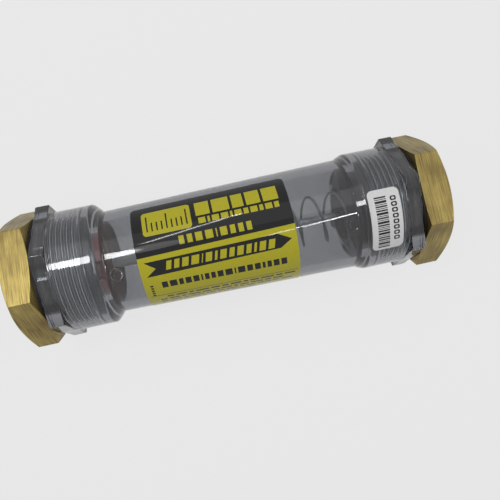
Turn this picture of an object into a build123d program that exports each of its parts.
"""Clear-bodied in-line flow meter: a spring-loaded disc rides in a tapered, see-through bore.

Millimetres. X runs along the bore from the inlet (-X) to the outlet (+X), with the origin on the
bore's axis at mid-length. +Z is up as the meter lies at rest. Angles round the bore are in
degrees from +Z towards +Y.
"""
from build123d import *
from math import cos, degrees, radians
import os

# Clear moulded body: two sockets with hexagonal end flanges, joined by a tapered tube
TUBE_HALF = 49.75           # mid-length to the foot of each shoulder
TUBE_WALL = 3.8
BORE_TAPER = 2.15           # the bore's radius grows by this much from foot to foot
SHOULDER_LENGTH = 3.55
SHOULDER_FILLET = 1.0
SOCKET_LENGTH = 21.7        # shoulder to the flange's outer face
SOCKET_WALL = 1.8           # at the mouth, where it is thinnest
FLANGE_T = 5.6
FLANGE_TURN = 20.0          # angle of one corner
FLANGE_EDGE = 0.4           # broken edge
FLAT_SINK = 0.2             # how far the flats lie inside the socket's radius
MARK_R = 2.5                # raised moulding ring near each end of the tube
MARK_WIDTH = 0.45
MARK_RISE = 0.25
INLET_MARK = (3.65, -10.5)  # distance from the foot, angle
OUTLET_MARK = (2.15, -8.9)

# Steps in each socket, from its floor outwards
SEAT_BACK = 1.25            # foot of the shoulder to the floor that the guide's rim sits on
SEAT_STEP = 0.9             # each step is wider than the one before it by this much
RELIEF_STEP = 0.6
RELIEF_LENGTH = 3.0         # smooth stretch before the thread
THREAD_STEP = 0.45
MOUTH_STEP = 1.65
MOUTH_DEPTH = 4.6           # pocket for the sealing ring, open at the flange
THREAD_GAP = 0.08
SEAT_GAP = 0.1
KEY_WIDTH = 7.2             # key in the inlet socket that stops its guide from turning
KEY_RISE = 2.6
KEY_TURN = -2.5
KEY_GAP = 0.15              # all round, to the slot in the guide's rim

# Brass end fittings, two alike
HEX_SINK = 0.25             # how far the flats lie inside the socket's radius
HEX_T = 11.4
INLET_TURN = 46.6           # angle of one corner
OUTLET_TURN = 40.0
HEX_FACE_STEP = 0.25        # end face inside the flats
HEX_CHAMFER = 1.9           # how far along the corners the outer chamfer reaches
INLET_BACK_CHAMFER = 1.6    # the same on the flange's side
OUTLET_BACK_CHAMFER = 0.5
COLLAR_T = 1.1
COLLAR_STEP = 0.9
NOSE_STEP = 0.6
NOSE_CHAMFER = 1.0
PORT_R = 15.7               # female 1 inch pipe thread at its pitch radius; it sets all the others
SHANK_WALL = 5.95           # port thread to shank thread
PORT_DEPTH = 20.0
PORT_CHAMFER = 1.5
WAY_STEP = 1.4              # waterway behind the port thread is narrower by this
NOSE_WALL = 2.8
ENTRY_SPARE = 2.2           # wide entry beyond the guide's cup
ENTRY_CONE = 3.0

# Sealing rings
RING_SECTION = 2.8
RING_GAP = 0.1

# Guides: rims clamped between socket floor and fitting, hubs that hold the rod
RIM_T = 3.0
RIM_WIDTH = 3.3
HUB_R = 4.5
HUB_BEHIND = 1.5            # hub beyond the rim, on the port side
HUB_AHEAD = 1.0             # hub beyond the rim, on the disc side
SPOKES = 3
SPOKE_WIDTH = 2.6
SPOKE_T = 2.4
SPOKE_TURN = 69.65
CUP_AHEAD = 3.0             # outlet guide: its cup and vanes reach this far into the tube
CUP_GAP = 0.85              # round the spring
CUP_WALL = 1.4
CUP_BEHIND = 3.8
CUP_FLOOR = 2.0
VANE_WIDTH = 9.0
VANE_GAP = 0.3              # to the bore
VANE_ROUND = 2.2

# Rod on the axis, its nuts and washers
ROD_R = 1.5
ROD_FIT = 0.05
ROD_STUB = 1.0              # thread left beyond each nut
NUT_AF = 5.5
NUT_T = 2.4
WASHER_R = 3.5
WASHER_T = 0.6
SLEEVE_WALL = 1.45

# Moving disc, shown at rest against its stop sleeve
REST_LENGTH = 15.0          # socket floor to the disc's upstream face
DISC_T = 2.4
DISC_GAP = 0.35             # to the bore
DISC_LIP = 2.1              # reading edge behind the rim
DISC_LIP_WIDTH = 1.7
DISC_BEVEL = 0.8
DISC_HUB_WALL = 2.0
DISC_HUB_AHEAD = 2.0
DISC_HUB_BEHIND = 7.6
BUSH_WALL = 1.45
BUSH_FLANGE_STEP = 1.2
BUSH_FLANGE_T = 1.0
BUSH_STUB = 1.8
CLIP_STEP = 1.4
CLIP_T = 0.7
CLIP_SLOT = 2.0
CLIP_GROOVE = 0.4
FIT = 0.02                  # between pieces that are pressed or stuck together
TRAVEL = 60.0               # of the disc, towards the outlet

# Spring between the disc's cup and the outlet guide
SPRING_R = 10.1             # mean radius of the coil
WIRE_R = 0.55
WIRE_SIDES = 8              # the wire's section is drawn with this many flats
SPRING_PITCH = 10.45
CLOSED_PITCH = 1.15
CLOSED_TURNS = 1.0          # at each end
EASE_TURNS = 0.35           # between a closed turn and the open ones
POINTS_PER_TURN = 12
COIL_TOP_X = 35.4           # where an open turn passes COIL_TOP_TURN
COIL_TOP_TURN = 95.65
SPRING_CUP_T = 0.6
SPRING_CUP_LIP = 3.0
SPRING_SIDE_GAP = 0.2
SPRING_SEAT_T = 0.6

# Labels: places along the tube, and angles of the top and lower edges
LABEL_T = 0.15
LABEL_CORNER = 2.0
MAIN_LABEL_START = -37.6
MAIN_LABEL_END = 24.6
MAIN_LABEL_TURNS = (60.15, -93.0)
SCALE_LABEL_START = -37.6
SCALE_LABEL_END = 30.0
SCALE_LABEL_TURNS = (210.0, 127.0)
STICKER_BACK = 0.6          # from the shoulder
STICKER_WIDTH = 12.7
STICKER_TURNS = (18.3, -39.5)

# Places along X, as distances from mid-length
SEAT_X = TUBE_HALF + SEAT_BACK
RELIEF_X = SEAT_X + RIM_T
THREAD_X = RELIEF_X + RELIEF_LENGTH
SHOULDER_X = TUBE_HALF + SHOULDER_LENGTH
BODY_HALF = SHOULDER_X + SOCKET_LENGTH
MOUTH_X = BODY_HALF - MOUTH_DEPTH
HEX_X = BODY_HALF + COLLAR_T
HEX_END = HEX_X + HEX_T
INLET_HUB_END = -RELIEF_X - HUB_BEHIND
OUTLET_HUB_END = RELIEF_X + CUP_BEHIND

# Radii, from the port outwards: the shank is a straight thread, 12 to the inch, at its pitch radius
THREAD_R = PORT_R + SHANK_WALL
RELIEF_R = THREAD_R - THREAD_STEP
SEAT_R = RELIEF_R - RELIEF_STEP
TUBE_R_OUT = SEAT_R - SEAT_STEP + TUBE_WALL
TUBE_R_IN = TUBE_R_OUT - BORE_TAPER
MOUTH_R = THREAD_R + MOUTH_STEP
SOCKET_R = MOUTH_R + SOCKET_WALL
RIM_R = SEAT_R - SEAT_GAP
RIM_INNER_R = RIM_R - RIM_WIDTH
NOSE_R = SEAT_R - NOSE_STEP
ENTRY_R = NOSE_R - NOSE_WALL
WAY_R = PORT_R - WAY_STEP
NECK_R = MOUTH_R - RING_SECTION - 2 * RING_GAP
COLLAR_R = MOUTH_R + COLLAR_STEP
FLANGE_AF = 2 * (SOCKET_R - FLAT_SINK)
HEX_AF = 2 * (SOCKET_R - HEX_SINK)

# Pieces round the rod, and the places that follow the disc at rest
HOLE_R = ROD_R + ROD_FIT
SLEEVE_R = HOLE_R + SLEEVE_WALL
BUSH_R = HOLE_R + BUSH_WALL
DISC_HUB_R = BUSH_R + DISC_HUB_WALL
CUP_INNER_R = SPRING_R + WIRE_R + CUP_GAP
DISC_X = -SEAT_X + REST_LENGTH
DISC_BACK = DISC_X + DISC_T
BUSH_START = DISC_X - DISC_HUB_AHEAD - BUSH_FLANGE_T
CLIP_START = DISC_BACK + DISC_HUB_BEHIND + FIT
SPRING_START = DISC_BACK + SPRING_CUP_T + FIT
SPRING_SEAT_END = OUTLET_HUB_END - CUP_FLOOR
SPRING_END = SPRING_SEAT_END - SPRING_SEAT_T - FIT


def tube_r(x):
    """Outside radius of the tapered tube."""
    share = (x + TUBE_HALF) / (2 * TUBE_HALF)
    return TUBE_R_IN + share * (TUBE_R_OUT - TUBE_R_IN)


def bore_r(x):
    """Radius of the tapered bore."""
    return tube_r(x) - TUBE_WALL


def turned(*outline):
    """Solid of revolution about X from its (x, radius) corners."""
    return revolve(make_face(Polyline(*outline, close=True)), Axis.X)


def ring(start, end, inner, outer):
    """Plain ring about X."""
    return turned((start, inner), (start, outer), (end, outer), (end, inner))


def hexagon(start, end, across, turn):
    """Hexagonal prism along X with one corner at the angle turn."""
    outline = RegularPolygon(across / 2, 6, major_radius=False)
    return extrude(Plane.YZ.offset(start) * Rot(Z=90 - turn) * outline, end - start)


def corner_r(across):
    """Distance from centre to corner of a hexagon."""
    return across / 2 / cos(radians(30))


def radial_box(start, end, inner, outer, width, angle):
    """Block from radius inner to outer, lying along X, at an angle round the bore."""
    block = Box(end - start, width, outer - inner, align=(Align.MIN, Align.CENTER, Align.MIN))
    return Rot(X=-angle) * Pos(start, 0, inner) * block


def clear_body():
    """Sockets, flanges and tube moulded as one, then bored from both ends."""
    flange_in = BODY_HALF - FLANGE_T
    corners = [
        (-flange_in, SOCKET_R), (-SHOULDER_X, SOCKET_R), (-TUBE_HALF, TUBE_R_IN),
        (TUBE_HALF, TUBE_R_OUT), (SHOULDER_X, SOCKET_R), (flange_in, SOCKET_R),
    ]
    profile = make_face(Polyline((-flange_in, 0), *corners, (flange_in, 0), close=True))
    bends = [v for v in profile.vertices() if abs(v.X) < flange_in - 1]
    body = revolve(fillet(bends, SHOULDER_FILLET), Axis.X)
    for side in (-1, 1):
        start = min(side * flange_in, side * BODY_HALF)
        flange = hexagon(start, start + FLANGE_T, FLANGE_AF, FLANGE_TURN)
        body += chamfer(flange.edges(), FLANGE_EDGE)
        body += ring(start, start + FLANGE_T, 0, SOCKET_R)
    for side, (from_foot, angle) in ((-1, INLET_MARK), (1, OUTLET_MARK)):
        body += moulding_mark(side * (TUBE_HALF - from_foot), angle)
    key = radial_box(-RELIEF_X + KEY_GAP, -SEAT_X + SEAT_BACK / 2, SEAT_R - KEY_RISE,
                     SEAT_R + KEY_RISE / 2, KEY_WIDTH, KEY_TURN)
    return body - cavity() + key


def moulding_mark(x, angle):
    """Small ring that stands proud of the tube."""
    reach = tube_r(x) + MARK_RISE
    disc = Cylinder(MARK_R, reach, align=(Align.CENTER, Align.CENTER, Align.MIN))
    disc -= Pos(Z=reach - 2 * MARK_RISE) * Cylinder(MARK_R - MARK_WIDTH, 4 * MARK_RISE)
    return Pos(X=x) * Rot(X=-angle) * disc


def cavity():
    """Everything that is hollow in the clear body: tapered bore, sockets and mouths."""
    hollow = turned(
        (-SEAT_X - SEAT_GAP, 0), (-SEAT_X - SEAT_GAP, bore_r(-SEAT_X)),
        (SEAT_X + SEAT_GAP, bore_r(SEAT_X)), (SEAT_X + SEAT_GAP, 0),
    )
    for side in (-1, 1):
        hollow += turned(
            (side * SEAT_X, 0), (side * SEAT_X, SEAT_R), (side * RELIEF_X, SEAT_R),
            (side * RELIEF_X, RELIEF_R), (side * THREAD_X, RELIEF_R),
            (side * THREAD_X, THREAD_R + THREAD_GAP), (side * MOUTH_X, THREAD_R + THREAD_GAP),
            (side * MOUTH_X, MOUTH_R), (side * BODY_HALF, MOUTH_R), (side * BODY_HALF, 0),
        )
    return hollow


def fitting(side, turn, back_chamfer):
    """Brass end fitting: threaded shank in the socket, hexagon outside, pipe thread inside."""
    face_r = HEX_AF / 2 - HEX_FACE_STEP
    shank = turned(
        (side * RELIEF_X, 0), (side * RELIEF_X, NOSE_R - NOSE_CHAMFER),
        (side * (RELIEF_X + NOSE_CHAMFER), NOSE_R), (side * THREAD_X, NOSE_R),
        (side * THREAD_X, THREAD_R), (side * MOUTH_X, THREAD_R), (side * MOUTH_X, NECK_R),
        (side * BODY_HALF, NECK_R), (side * BODY_HALF, COLLAR_R), (side * HEX_X, COLLAR_R),
        (side * HEX_X, 0),
    )
    start = min(side * HEX_X, side * HEX_END)
    envelope = turned(
        (side * HEX_X, 0), (side * HEX_X, face_r),
        (side * (HEX_X + back_chamfer), corner_r(HEX_AF)),
        (side * (HEX_END - HEX_CHAMFER), corner_r(HEX_AF)),
        (side * HEX_END, face_r), (side * HEX_END, 0),
    )
    head = hexagon(start, start + HEX_T, HEX_AF, turn) & envelope
    entry_end = OUTLET_HUB_END + ENTRY_SPARE
    port_floor = HEX_END - PORT_DEPTH
    way = turned(
        (side * RELIEF_X, 0), (side * RELIEF_X, ENTRY_R), (side * entry_end, ENTRY_R),
        (side * (entry_end + ENTRY_CONE), WAY_R), (side * port_floor, WAY_R),
        (side * port_floor, PORT_R), (side * (HEX_END - PORT_CHAMFER), PORT_R),
        (side * HEX_END, PORT_R + PORT_CHAMFER), (side * HEX_END, 0),
    )
    return shank + head - way


def sealing_ring(side):
    """Round-section ring between the fitting's neck and the flange's mouth."""
    middle = BODY_HALF - RING_GAP - RING_SECTION / 2
    radius = (NECK_R + MOUTH_R) / 2
    section = Pos(side * middle, radius) * Circle(RING_SECTION / 2)
    return revolve(section, Axis.X)


def rim(side):
    """Flat rim that the fitting clamps against the socket's floor."""
    start = min(side * SEAT_X, side * (SEAT_X + RIM_T))
    return ring(start, start + RIM_T, RIM_INNER_R, RIM_R)


def inlet_guide():
    """Rim with a slot for the body's key, three spokes and a hub for the rod."""
    guide = rim(-1)
    middle = SEAT_X + RIM_T / 2
    for n in range(SPOKES):
        guide += radial_box(
            -middle - SPOKE_T / 2, -middle + SPOKE_T / 2, HUB_R / 2, RIM_INNER_R + RIM_WIDTH / 2,
            SPOKE_WIDTH, SPOKE_TURN + n * 360 / SPOKES,
        )
    guide += ring(INLET_HUB_END, -SEAT_X + HUB_AHEAD, 0, HUB_R)
    slot = radial_box(-RELIEF_X, -SEAT_X, SEAT_R - KEY_RISE - KEY_GAP, SOCKET_R,
                      KEY_WIDTH + 2 * KEY_GAP, KEY_TURN)
    return guide - slot - rod_hole()


def outlet_guide():
    """Rim, three broad vanes that reach into the tube, and the cup that holds the spring."""
    guide = rim(1)
    start = SEAT_X - CUP_AHEAD
    end = OUTLET_HUB_END
    reach = bore_r(start) - VANE_GAP
    for n in range(SPOKES):
        angle = SPOKE_TURN + n * 360 / SPOKES
        vane = radial_box(start, RELIEF_X, CUP_INNER_R + CUP_WALL / 2, reach, VANE_WIDTH, 0)
        tips = vane.edges().filter_by(Axis.Z).sort_by(Axis.X)[:2]
        guide += Rot(X=-angle) * fillet(tips, VANE_ROUND)
    guide &= ring(start, SEAT_X, 0, reach) + ring(SEAT_X, end, 0, RIM_R)
    guide += ring(start, end, 0, CUP_INNER_R + CUP_WALL)
    guide -= ring(start, end - CUP_FLOOR, 0, CUP_INNER_R)
    return guide - rod_hole()


def rod_hole():
    """Hole on the axis that the rod passes through."""
    return ring(-BODY_HALF, BODY_HALF, 0, HOLE_R)


def guide_rod():
    """Plain rod, chamfered at both ends."""
    stack = WASHER_T + NUT_T + ROD_STUB
    start = INLET_HUB_END - stack
    end = OUTLET_HUB_END + stack
    bevel = ROD_R / 3
    return turned(
        (start, 0), (start, ROD_R - bevel), (start + bevel, ROD_R),
        (end - bevel, ROD_R), (end, ROD_R - bevel), (end, 0),
    )


def rod_washer(hub_end, side):
    start = min(hub_end, hub_end + side * WASHER_T)
    return ring(start, start + WASHER_T, HOLE_R, WASHER_R)


def rod_nut(hub_end, side):
    """Hexagon nut, chamfered outside, screwed against its washer."""
    inner = hub_end + side * WASHER_T
    start = min(inner, inner + side * NUT_T)
    nut = hexagon(start, start + NUT_T, NUT_AF, OUTLET_TURN)
    bevel = corner_r(NUT_AF) - NUT_AF / 2
    nut &= turned(
        (start, 0), (start, NUT_AF / 2), (start + bevel / 2, corner_r(NUT_AF)),
        (start + NUT_T - bevel / 2, corner_r(NUT_AF)), (start + NUT_T, NUT_AF / 2),
        (start + NUT_T, 0),
    )
    return nut - ring(start, start + NUT_T, 0, ROD_R + FIT)


def stop_sleeve():
    """Spacer on the rod that sets where the disc rests."""
    return ring(-SEAT_X + HUB_AHEAD, BUSH_START, HOLE_R, SLEEVE_R)


def flow_disc():
    """Disc with a sharp upstream edge, a reading lip and a long hub."""
    edge = bore_r(DISC_X) - DISC_GAP
    lip_end = DISC_BACK + DISC_LIP
    hub_start = DISC_X - DISC_HUB_AHEAD
    hub_end = DISC_BACK + DISC_HUB_BEHIND
    return turned(
        (hub_start, BUSH_R + FIT), (hub_start, DISC_HUB_R), (DISC_X, DISC_HUB_R), (DISC_X, edge),
        (lip_end, edge - DISC_BEVEL), (lip_end, edge - DISC_LIP_WIDTH),
        (DISC_BACK, edge - DISC_LIP_WIDTH), (DISC_BACK, DISC_HUB_R), (hub_end, DISC_HUB_R),
        (hub_end, BUSH_R + FIT),
    )


def disc_bush():
    """Flanged slide bush in the disc's hub, grooved for its clip."""
    flange_end = BUSH_START + BUSH_FLANGE_T - FIT
    groove_start = CLIP_START - FIT
    groove_end = CLIP_START + CLIP_T + FIT
    groove_r = BUSH_R - CLIP_GROOVE - FIT
    end = CLIP_START + BUSH_STUB
    return turned(
        (BUSH_START, HOLE_R), (BUSH_START, BUSH_R + BUSH_FLANGE_STEP),
        (flange_end, BUSH_R + BUSH_FLANGE_STEP), (flange_end, BUSH_R), (groove_start, BUSH_R),
        (groove_start, groove_r), (groove_end, groove_r), (groove_end, BUSH_R), (end, BUSH_R),
        (end, HOLE_R),
    )


def bush_clip():
    """Open snap ring that keeps the bush in the hub."""
    end = CLIP_START + CLIP_T
    clip_r = BUSH_R + CLIP_STEP
    clip = ring(CLIP_START, end, BUSH_R - CLIP_GROOVE, clip_r)
    return clip - radial_box(CLIP_START, end, 0, 2 * clip_r, CLIP_SLOT, FLANGE_TURN)


def spring_cup():
    """Pressed steel cup that the moving end of the spring sits in."""
    inside = SPRING_R + WIRE_R + SPRING_SIDE_GAP
    floor = DISC_BACK + SPRING_CUP_T
    lip = floor + SPRING_CUP_LIP
    return turned(
        (DISC_BACK, DISC_HUB_R + FIT), (DISC_BACK, inside + SPRING_CUP_T),
        (lip, inside + SPRING_CUP_T), (lip, inside), (floor, inside), (floor, DISC_HUB_R + FIT),
    )


def spring_seat():
    """Flat washer in the floor of the outlet guide's cup."""
    return ring(SPRING_SEAT_END - SPRING_SEAT_T, SPRING_SEAT_END, HOLE_R, CUP_INNER_R - FIT)


def flow_spring():
    """Compression spring: one wire, even in the middle and closed up at both ends."""
    first = SPRING_START + WIRE_R
    length = SPRING_END - WIRE_R - first
    dead = CLOSED_TURNS + EASE_TURNS
    dead_rise = CLOSED_TURNS * CLOSED_PITCH + EASE_TURNS * (CLOSED_PITCH + SPRING_PITCH) / 2
    turns = (length - 2 * dead_rise) / SPRING_PITCH + 2 * dead

    def rise(turn):
        if turn > turns / 2:
            return length - rise(turns - turn)
        if turn > dead:
            return dead_rise + (turn - dead) * SPRING_PITCH
        eased = max(0, turn - CLOSED_TURNS)
        return turn * CLOSED_PITCH + (SPRING_PITCH - CLOSED_PITCH) * eased**2 / (2 * EASE_TURNS)

    steps = round(turns * POINTS_PER_TURN)
    path = Spline(*[
        Vector(SPRING_R, 0).rotate(Axis.Z, 360 * turns * n / steps)
        + Vector(0, 0, rise(turns * n / steps))
        for n in range(steps + 1)
    ])
    section = RegularPolygon(WIRE_R, WIRE_SIDES, major_radius=True)
    wire = sweep((path ^ 0) * section, path=path, is_frenet=True)
    turns_to_top = dead + (COIL_TOP_X - first - dead_rise) / SPRING_PITCH
    return Plane.YZ.offset(first) * Rot(Z=90 - COIL_TOP_TURN - 360 * turns_to_top) * wire


def label(start, end, turns, radius_at):
    """Thin film wrapped on the body between two angles, with rounded corners."""
    top, low = turns
    inner = [(start, radius_at(start) + FIT), (end, radius_at(end) + FIT)]
    outer = [(x, r + LABEL_T) for x, r in reversed(inner)]
    film = revolve(make_face(Polyline(*inner, *outer, close=True)), Axis.X, top - low)
    film = Rot(X=90 - top) * film
    for x, along in ((start, -1), (end, 1)):
        reach = radius_at(x) + 2 * LABEL_T
        inset = degrees(LABEL_CORNER / radius_at(x))
        for angle, around in ((top, 1), (low, -1)):
            tool = Pos(X=x - along * LABEL_CORNER) * corner_tool(reach, along, around)
            film -= Rot(X=around * inset - angle) * tool
    return film


def corner_tool(reach, along, around):
    """What a square corner has outside its rounding, as a post that stands on the axis."""
    side = 2 * LABEL_CORNER
    post = Box(side, side, reach, align=(Align.CENTER, Align.CENTER, Align.MIN))
    post = Pos(along * LABEL_CORNER, around * LABEL_CORNER) * post
    return post - Cylinder(LABEL_CORNER, 3 * reach)


def make_parts():
    """Every piece of the meter by its node's name."""
    return {
        "clear_body": clear_body(),
        "inlet_fitting": fitting(-1, INLET_TURN, INLET_BACK_CHAMFER),
        "outlet_fitting": fitting(1, OUTLET_TURN, OUTLET_BACK_CHAMFER),
        "inlet_seal": sealing_ring(-1),
        "outlet_seal": sealing_ring(1),
        "inlet_guide": inlet_guide(),
        "outlet_guide": outlet_guide(),
        "guide_rod": guide_rod(),
        "inlet_washer": rod_washer(INLET_HUB_END, -1),
        "outlet_washer": rod_washer(OUTLET_HUB_END, 1),
        "inlet_nut": rod_nut(INLET_HUB_END, -1),
        "outlet_nut": rod_nut(OUTLET_HUB_END, 1),
        "stop_sleeve": stop_sleeve(),
        "flow_disc": flow_disc(),
        "disc_bush": disc_bush(),
        "bush_clip": bush_clip(),
        "spring_cup": spring_cup(),
        "spring_seat": spring_seat(),
        "flow_spring": flow_spring(),
        "main_label": label(MAIN_LABEL_START, MAIN_LABEL_END, MAIN_LABEL_TURNS, tube_r),
        "scale_label": label(SCALE_LABEL_START, SCALE_LABEL_END, SCALE_LABEL_TURNS, tube_r),
        "serial_sticker": label(
            SHOULDER_X + STICKER_BACK, SHOULDER_X + STICKER_BACK + STICKER_WIDTH, STICKER_TURNS,
            lambda x: SOCKET_R,
        ),
    }


os.makedirs("parts", exist_ok=True)
for name, solid in make_parts().items():
    export_step(solid, f"parts/{name}.step")
    print(name, round(solid.volume, 1), "mm3")
